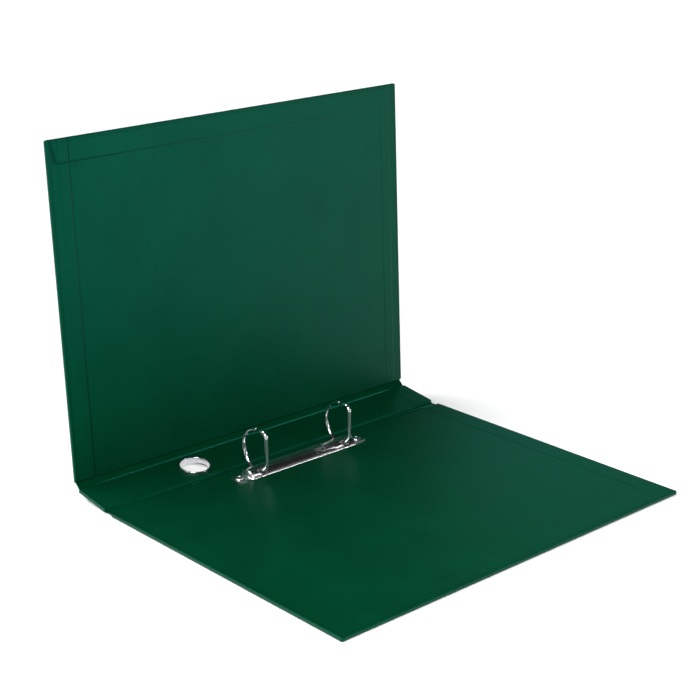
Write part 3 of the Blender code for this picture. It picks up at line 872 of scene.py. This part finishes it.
def rivet_profile():
    top = PLATE_BASE + PLATE_SHEET / 2 + 0.1 * MM
    head, shank, flat, dimple = 3.4 * MM, 1.6 * MM, 4.0 * MM, 1.1 * MM
    rise = 1.5 * MM
    dome = [(head * math.cos(a), top + rise * math.sin(a)) for a in np.radians(np.arange(0, 66, 8))]
    rim = dome[-1]
    turns = np.radians([0, 30, 60])
    bowl = [(dimple * math.cos(a), rim[1] + 0.1 * MM - 0.7 * MM * math.sin(a)) for a in turns]
    under = [(0, 0), (flat - 0.15 * MM, 0), (flat, 0.12 * MM), (flat, 0.35 * MM), (shank, 0.35 * MM)]
    return [*under, (shank, top), *dome, *bowl, (0, rim[1] - 0.6 * MM)]


rivets = []
for name, y in (("bottom", -RIVET_Y), ("top", RIVET_Y)):
    matrix = Matrix.Translation((PLATE_X, y, 0))
    rivet = turn(f"{name}_tubular_rivet", rivet_profile(), matrix, NICKEL, steps=56)
    rivets.append((rivet, f"{name}_rivet"))

FINGER_HOLE, FLANGE = 11.0 * MM, 13.6 * MM
RING_LOW = -0.9 * MM
spine_frame = panel_matrix(2, SPINE_MIDDLE, FINGER_Y)
WASHER_TOP = PANEL + 0.5 * MM
roll = arc((BARREL, WASHER_TOP + 0.05 * MM), BARREL - FINGER_HOLE, 180, 0, 20)
flange_arc = arc((FINGER_HOLE + 0.9 * MM, RING_LOW + 0.9 * MM), 0.9 * MM, 180, 265, 12)
eyelet_profile = [
    *roll,
    (BARREL, WASHER_TOP),
    (BARREL, -0.1 * MM),
    (FLANGE, -0.1 * MM),
    (FLANGE - 0.05 * MM, RING_LOW + 0.35 * MM),
    (FLANGE - 0.45 * MM, RING_LOW),
    *flange_arc[::-1],
]
eyelet = turn("finger_ring_eyelet", eyelet_profile, spine_frame, NICKEL_WIRE)
WASHER_IN, WASHER_OUT = BARREL + 0.15 * MM, 13.4 * MM
low, high = PANEL + 0.1 * MM, WASHER_TOP - 0.02 * MM
washer_profile = [
    (WASHER_IN, low),
    (WASHER_OUT, low),
    (WASHER_OUT, low + 0.2 * MM),
    (WASHER_OUT - 0.25 * MM, high - 0.12 * MM),
    (WASHER_OUT - 0.7 * MM, high),
    (WASHER_IN, high),
]
washer = turn("finger_ring_backing", washer_profile, spine_frame, NICKEL_WIRE)
print("turned pieces", len(rivets) + 2)

# %% [markdown]
# ## The label pocket
#
# A piece of clear film is welded to the outside of the spine along two sides and its lower
# corners, and left open at the top. The film is a thin grid: pressed down round the rim, and
# raised over the card. A round post cuts the thumb notch.

# %% Pocket film
def clear_film():
    """Clear calendered vinyl: a faint green cast, glossy, with a slight haze that varies in patches."""
    made, tree, shader, place = blank_material("clear pocket film")
    haze = node(tree, "ShaderNodeTexNoise", {"Vector": place, "Scale": 1 / (6 * MM), "Detail": 3.0})
    dull = node(tree, "ShaderNodeMapRange", {"Value": haze.outputs["Fac"], "To Min": 0.08, "To Max": 0.22})
    tree.links.new(dull.outputs["Result"], shader.inputs["Roughness"])
    shader.inputs["Base Color"].default_value = linear("#a9d6c6")
    shader.inputs["Alpha"].default_value = 0.28
    shader.inputs["IOR"].default_value = 1.5
    return made


POCKET_FILM = clear_film()
pocket_low, pocket_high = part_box("label_pocket")
POCKET_Y = (pocket_low.y + pocket_high.y) / 2
POCKET_HALF = (14.5 * MM, (pocket_high.y - pocket_low.y) / 2)
WELD = 3.2 * MM
pocket_frame = panel_matrix(2, SPINE_MIDDLE, POCKET_Y)


def pocket_height(x, y):
    """Mid-height of the film below the spine's outer face: low at the weld, high on the card."""
    from_rim = np.minimum(POCKET_HALF[0] - np.abs(x), y + POCKET_HALF[1])
    return -0.25 * MM - 0.33 * MM * smooth_step((from_rim - WELD + 0.9 * MM) / (1.4 * MM))


def make_pocket():
    lines = [(side * (POCKET_HALF[0] - WELD), 1.5 * MM, 0.3 * MM) for side in (-1, 1)]
    xs = spaced(-POCKET_HALF[0], POCKET_HALF[0], 1.5 * MM, lines)
    ys = spaced(-POCKET_HALF[1], POCKET_HALF[1], 3 * MM, [(-POCKET_HALF[1] + WELD, 1.5 * MM, 0.3 * MM)])
    grid_x, grid_y = np.meshgrid(xs, ys)
    middle = pocket_height(grid_x, grid_y)
    thin = 0.13 * MM
    rows = []
    for i in range(len(ys)):
        upper = [(x, ys[i], z + thin) for x, z in zip(xs, middle[i])]
        lower = [(x, ys[i], z - thin) for x, z in zip(xs[::-1], middle[i][::-1])]
        rows += upper + lower
    around = 2 * len(xs)
    faces = loop_faces(len(ys), around)
    faces += sheet_end(0, around) + sheet_end((len(ys) - 1) * around, around)
    points = [pocket_frame @ Vector(p) for p in rows]
    pocket = make_piece("label_pocket_film", points, faces, POCKET_FILM, sharp=40)
    notch = post("notch", 2, SPINE_MIDDLE, POCKET_Y - POCKET_HALF[1], 5 * MM, -3 * MM, 3 * MM, 48)
    cut_away(pocket, [notch], 40)
    return pocket


pocket = make_pocket()

# %% [markdown]
# ### The weld's marks
#
# The heated tool presses rows of short marks into the weld. They repeat along a line, so
# Geometry Nodes set them out: the tree puts a small ball at each step along a guide curve,
# squashed and turned along it. It ends in real geometry with a material, and the result is
# made a plain mesh, so that it can be exported and can ride on the spine.

# %% Weld marks by Geometry Nodes
MARK_PITCH = 1.9 * MM
MARK_SIZE = (0.55 * MM, 1.15 * MM, 0.12 * MM)


def mark_tree(material):
    """Puts one small rounded mark at each step along a curve, turned along it."""
    tree = bpy.data.node_groups.new("weld marks", "GeometryNodeTree")
    tree.interface.new_socket("Geometry", in_out="INPUT", socket_type="NodeSocketGeometry")
    sizes = zip(("Pitch", "Width", "Length", "Height"), (MARK_PITCH, *MARK_SIZE))
    for name, value in sizes:
        socket = tree.interface.new_socket(name, in_out="INPUT", socket_type="NodeSocketFloat")
        socket.default_value = value
    tree.interface.new_socket("Geometry", in_out="OUTPUT", socket_type="NodeSocketGeometry")
    start = node(tree, "NodeGroupInput").outputs
    points = node(
        tree, "GeometryNodeCurveToPoints", {"Curve": start["Geometry"], "Length": start["Pitch"]},
        mode="LENGTH",
    )
    size = node(
        tree, "ShaderNodeCombineXYZ",
        {"X": start["Height"], "Y": start["Width"], "Z": start["Length"]},
    )
    ball = node(tree, "GeometryNodeMeshUVSphere", {"Segments": 10, "Rings": 6, "Radius": 0.5})
    marks = node(
        tree, "GeometryNodeInstanceOnPoints",
        {
            "Points": points.outputs["Points"],
            "Instance": ball.outputs["Mesh"],
            "Rotation": points.outputs["Rotation"],
            "Scale": size.outputs["Vector"],
        },
    )
    real = node(tree, "GeometryNodeRealizeInstances", {"Geometry": marks.outputs["Instances"]})
    smooth = node(tree, "GeometryNodeSetShadeSmooth", {0: real.outputs["Geometry"]})
    finish = node(tree, "GeometryNodeSetMaterial", {"Geometry": smooth.outputs[0], "Material": material})
    node(tree, "NodeGroupOutput", {"Geometry": finish.outputs["Geometry"]})
    return tree


def make_weld_marks():
    """Two rows down each side of the pocket, and a short row across each lower corner."""
    curve = bpy.data.curves.new("weld lines", "CURVE")
    curve.dimensions = "3D"
    x_side, y_low = POCKET_HALF[0] - 0.9 * MM, -POCKET_HALF[1] + 0.9 * MM
    lines = []
    for side in (-1, 1):
        for step in (0, 1.2 * MM):
            x = side * (x_side - step)
            lines.append(((x, y_low + 1 * MM), (x, POCKET_HALF[1] - 0.8 * MM)))
        lines.append(((side * 6.5 * MM, y_low), (side * (x_side - 2 * MM), y_low)))
    for a, b in lines:
        spline = curve.splines.new("POLY")
        spline.points.add(1)
        for point, (x, y) in zip(spline.points, (a, b)):
            place = pocket_frame @ Vector((x, y, -0.4 * MM))
            point.co = (*place, 1)
    guide = bpy.data.objects.new("weld guide", curve)
    bpy.context.scene.collection.objects.link(guide)
    guide.modifiers.new("marks", "NODES").node_group = mark_tree(WELD_FILM)
    mesh = bpy.data.meshes.new_from_object(guide.evaluated_get(bpy.context.evaluated_depsgraph_get()))
    bpy.data.objects.remove(guide, do_unlink=True)
    marks = bpy.data.objects.new("pocket_weld_marks", mesh)
    bpy.context.scene.collection.objects.link(marks)
    return marks


def weld_film():
    """The pressed weld: the same film, whitened where the tool squeezed it."""
    made, tree, shader, place = blank_material("pressed weld film")
    tree.links.new(two_tone(tree, place, 2 * MM, "#2f8a74", "#5fb09c"), shader.inputs["Base Color"])
    shader.inputs["Roughness"].default_value = 0.3
    return made


WELD_FILM = weld_film()
marks = make_weld_marks()
print("weld marks", len(marks.data.polygons), "faces")

# %% [markdown]
# ## The label card
#
# The card is smooth white board with a slightly blue white. A real one is printed; this one
# carries only ruled lines for a title. They are drawn from the card's own place on the
# spine, so they move with it.

# %% Card material
card_low, card_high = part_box("label_card")
RULE_GAP = 9 * MM
RULE_WIDTH = 0.35 * MM
RULED_PART, CARD_MARGIN = 62 * MM, 3 * MM  # the rules fill the lower part, inside the margins


def ruled_card():
    made, tree, shader, place = blank_material("white label card")
    split = node(tree, "ShaderNodeSeparateXYZ", {"Vector": place})
    from_low = node(
        tree, "ShaderNodeMath", {0: split.outputs["Y"], 1: card_low.y + 4 * MM}, operation="SUBTRACT"
    )
    repeat = node(tree, "ShaderNodeMath", {0: from_low.outputs[0], 1: RULE_GAP}, operation="PINGPONG")
    on_line = node(tree, "ShaderNodeMath", {0: repeat.outputs[0], 1: RULE_WIDTH}, operation="LESS_THAN")
    limits = (
        ("Y", card_low.y + RULED_PART, "LESS_THAN"),
        ("X", card_low.x + CARD_MARGIN, "GREATER_THAN"),
        ("X", card_high.x - CARD_MARGIN, "LESS_THAN"),
    )
    ink = on_line.outputs[0]
    for axis, value, test in limits:
        inside = node(tree, "ShaderNodeMath", {0: split.outputs[axis], 1: value}, operation=test)
        both = node(tree, "ShaderNodeMath", {0: ink, 1: inside.outputs[0]}, operation="MULTIPLY")
        ink = both.outputs[0]
    paper = two_tone(tree, place, 0.8 * MM, "#dfe1ee", "#e9ebf5", 3.0)
    tone = node(
        tree, "ShaderNodeMix", {"Factor": ink, "A": paper, "B": linear("#8f98a6")}, data_type="RGBA"
    )
    tree.links.new(tone.outputs["Result"], shader.inputs["Base Color"])
    shader.inputs["Roughness"].default_value = 0.55
    return made


give_material("label_card", ruled_card())
print(f"label card {1000 * (card_high.y - card_low.y):.0f} mm long")

# %% [markdown]
# ## Joining the pieces to the bodies
#
# A rigid piece rides on one body. A skin is bent over its crease at rest, and stays where it
# was made, in place of the CAD film and liner that it replaces.

# %% Bodies
SKIN_NODES = (
    ("back_cover_film", "back_cover_liner"),
    ("back_hinge_film", "back_hinge_liner", "spine_film", "spine_liner"),
    ("front_hinge_film", "front_hinge_liner"),
    ("front_cover_film", "front_cover_liner"),
)
for i, (skin, nodes) in enumerate(zip(skins, SKIN_NODES)):
    before, after = on_case([CREASES[i] - BEND, CREASES[i] + BEND], [0, 0], [CREASE_LEVEL] * 2)
    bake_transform(skin)
    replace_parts(skin, *nodes)

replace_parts(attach(plate, "back_cover"), "mechanism_cover_plate")
for wire, body, cad_node in rings:
    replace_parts(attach(wire, body), cad_node)
for rivet, cad_node in rivets:
    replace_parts(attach(rivet, "back_cover"), cad_node)
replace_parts(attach(eyelet, "spine"), "finger_ring")
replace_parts(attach(washer, "spine"), "finger_ring_washer")
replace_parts(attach(pocket, "spine"), "label_pocket")
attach(marks, "spine")
others = (plate, eyelet, washer, pocket, marks)
print(len(skins) + len(rings) + len(rivets) + len(others), "made pieces follow their bodies")

# %% [markdown]
# ## Floor and light
#
# The binder lies on a pale floor. A wide soft sun, like light through a whole diffusing
# ceiling, whitens the floor, which glows a little so that it stays white as far as it goes. The
# room's walls are white low down and dark above, because nickel only looks like nickel when it
# has something dark to reflect. The front box is the main light, high enough not to glare on a
# cover that is seen from low down. The other two stand where the hinge film, the plate and the
# far end of the back cover mirror them.

# %% Studio
def make_floor():
    made, tree, shader, place = blank_material("pale studio floor")
    tree.links.new(two_tone(tree, place, 1 / 3, "#f3f3f3", "#f6f6f6"), shader.inputs["Base Color"])
    shader.inputs["Roughness"].default_value = 1.0
    shader.inputs["Specular IOR Level"].default_value = 0.0
    shader.inputs["Emission Color"].default_value = linear("#ffffff")
    distance = node(tree, "ShaderNodeVectorMath", {0: place}, operation="LENGTH").outputs["Value"]
    glow = node(
        tree, "ShaderNodeMapRange",
        {"Value": distance, "From Min": 0.5, "From Max": 2.5, "To Min": 0.08, "To Max": 0.3},
    )
    tree.links.new(glow.outputs["Result"], shader.inputs["Emission Strength"])
    half, level = 12.0, -0.0004
    corners = [(-half, -half, level), (half, -half, level), (half, half, level), (-half, half, level)]
    floor = make_piece("floor", corners, [(0, 1, 2, 3)], made, recalculate=False)


def aim(obj, target):
    way = Vector(target) - obj.location
    obj.rotation_euler = way.to_track_quat("-Z", "Y").to_euler()


def soft_light(name, place, target, size, power, colour="#ffffff"):
    lamp = bpy.data.lights.new(name, "AREA")
    lamp.shape, lamp.size, lamp.size_y, lamp.energy = "RECTANGLE", size[0], size[1], power
    lamp.color = linear(colour)[:3]
    light = bpy.data.objects.new(name, lamp)
    light.location = place
    bpy.context.scene.collection.objects.link(light)
    aim(light, target)


make_floor()
soft_light("back box", (0.95, 0.75, 0.36), (-0.14, 0.0, 0.01), (0.6, 0.1), 3)
soft_light("front box", (0.85, -1.0, 1.1), (-0.14, -0.05, 0.12), (0.9, 0.6), 31)
soft_light("far box", (-0.45, 0.75, 0.3), (0.08, 0.1, 0.0), (0.35, 0.25), 0.2, "#80fff0")
sun_lamp = bpy.data.lights.new("sun", "SUN")
sun_lamp.energy = 3.3
sun_lamp.angle = math.radians(50)
sun = bpy.data.objects.new("sun", sun_lamp)
sun.location = (-0.45, -0.4, 0.8)
bpy.context.scene.collection.objects.link(sun)
aim(sun, (0, 0, 0))

world = bpy.data.worlds.new("studio walls")
world.use_nodes = True
walls = world.node_tree
way = node(walls, "ShaderNodeTexCoord").outputs["Generated"]
height = node(walls, "ShaderNodeSeparateXYZ", {"Vector": way}).outputs["Z"]
wall_light = node(
    walls, "ShaderNodeMapRange",
    {"Value": height, "From Min": 0.08, "From Max": 0.5, "To Min": 1.0, "To Max": 0.2},
    interpolation_type="SMOOTHSTEP",
)
DARK_WALL = (0.7, 0.7, 0.0)  # the wall that the front cover's far end mirrors is the darkest
towards = node(walls, "ShaderNodeVectorMath", {0: way, 1: DARK_WALL}, operation="DOT_PRODUCT")
wall_dark = node(
    walls, "ShaderNodeMapRange",
    {"Value": towards.outputs["Value"], "From Min": 0.2, "From Max": 0.9, "To Min": 1.0, "To Max": 0.2},
)
wall_strength = node(
    walls, "ShaderNodeMath", {0: wall_light.outputs["Result"], 1: wall_dark.outputs["Result"]},
    operation="MULTIPLY",
)
walls.links.new(wall_strength.outputs[0], walls.nodes["Background"].inputs["Strength"])
bpy.context.scene.world = world
bpy.context.scene.view_settings.view_transform = "Standard"

# %% [markdown]
# ## The camera
#
# It looks diagonally across the case, from in front and to the right, through a long lens,
# so that edges which are parallel on the case stay almost parallel in the picture. Its angles
# are turned into a matrix in the order that a tripod would be set: turn, tilt, then roll.

# %% Camera
CAMERA_PLACE = (0.822, -0.724, 0.483)
CAMERA_TURN = math.radians(47.6)  # left of the spine's direction
CAMERA_DOWN = math.radians(19.5)
CAMERA_ROLL = math.radians(-0.5)
LENS = 85.1
SHIFT = (-0.071, 0.029)  # the object stands a little left of and below the lens's axis

camera_data = bpy.data.cameras.new("camera")
camera_data.lens = LENS
camera_data.sensor_width = 36.0
camera_data.shift_x, camera_data.shift_y = SHIFT
camera = bpy.data.objects.new("camera", camera_data)
camera.location = CAMERA_PLACE
look = Matrix.Rotation(CAMERA_TURN, 4, "Z") @ Matrix.Rotation(math.radians(90) - CAMERA_DOWN, 4, "X")
camera.matrix_world = Matrix.Translation(CAMERA_PLACE) @ look @ Matrix.Rotation(CAMERA_ROLL, 4, "Z")
bpy.context.scene.collection.objects.link(camera)
bpy.context.scene.camera = camera
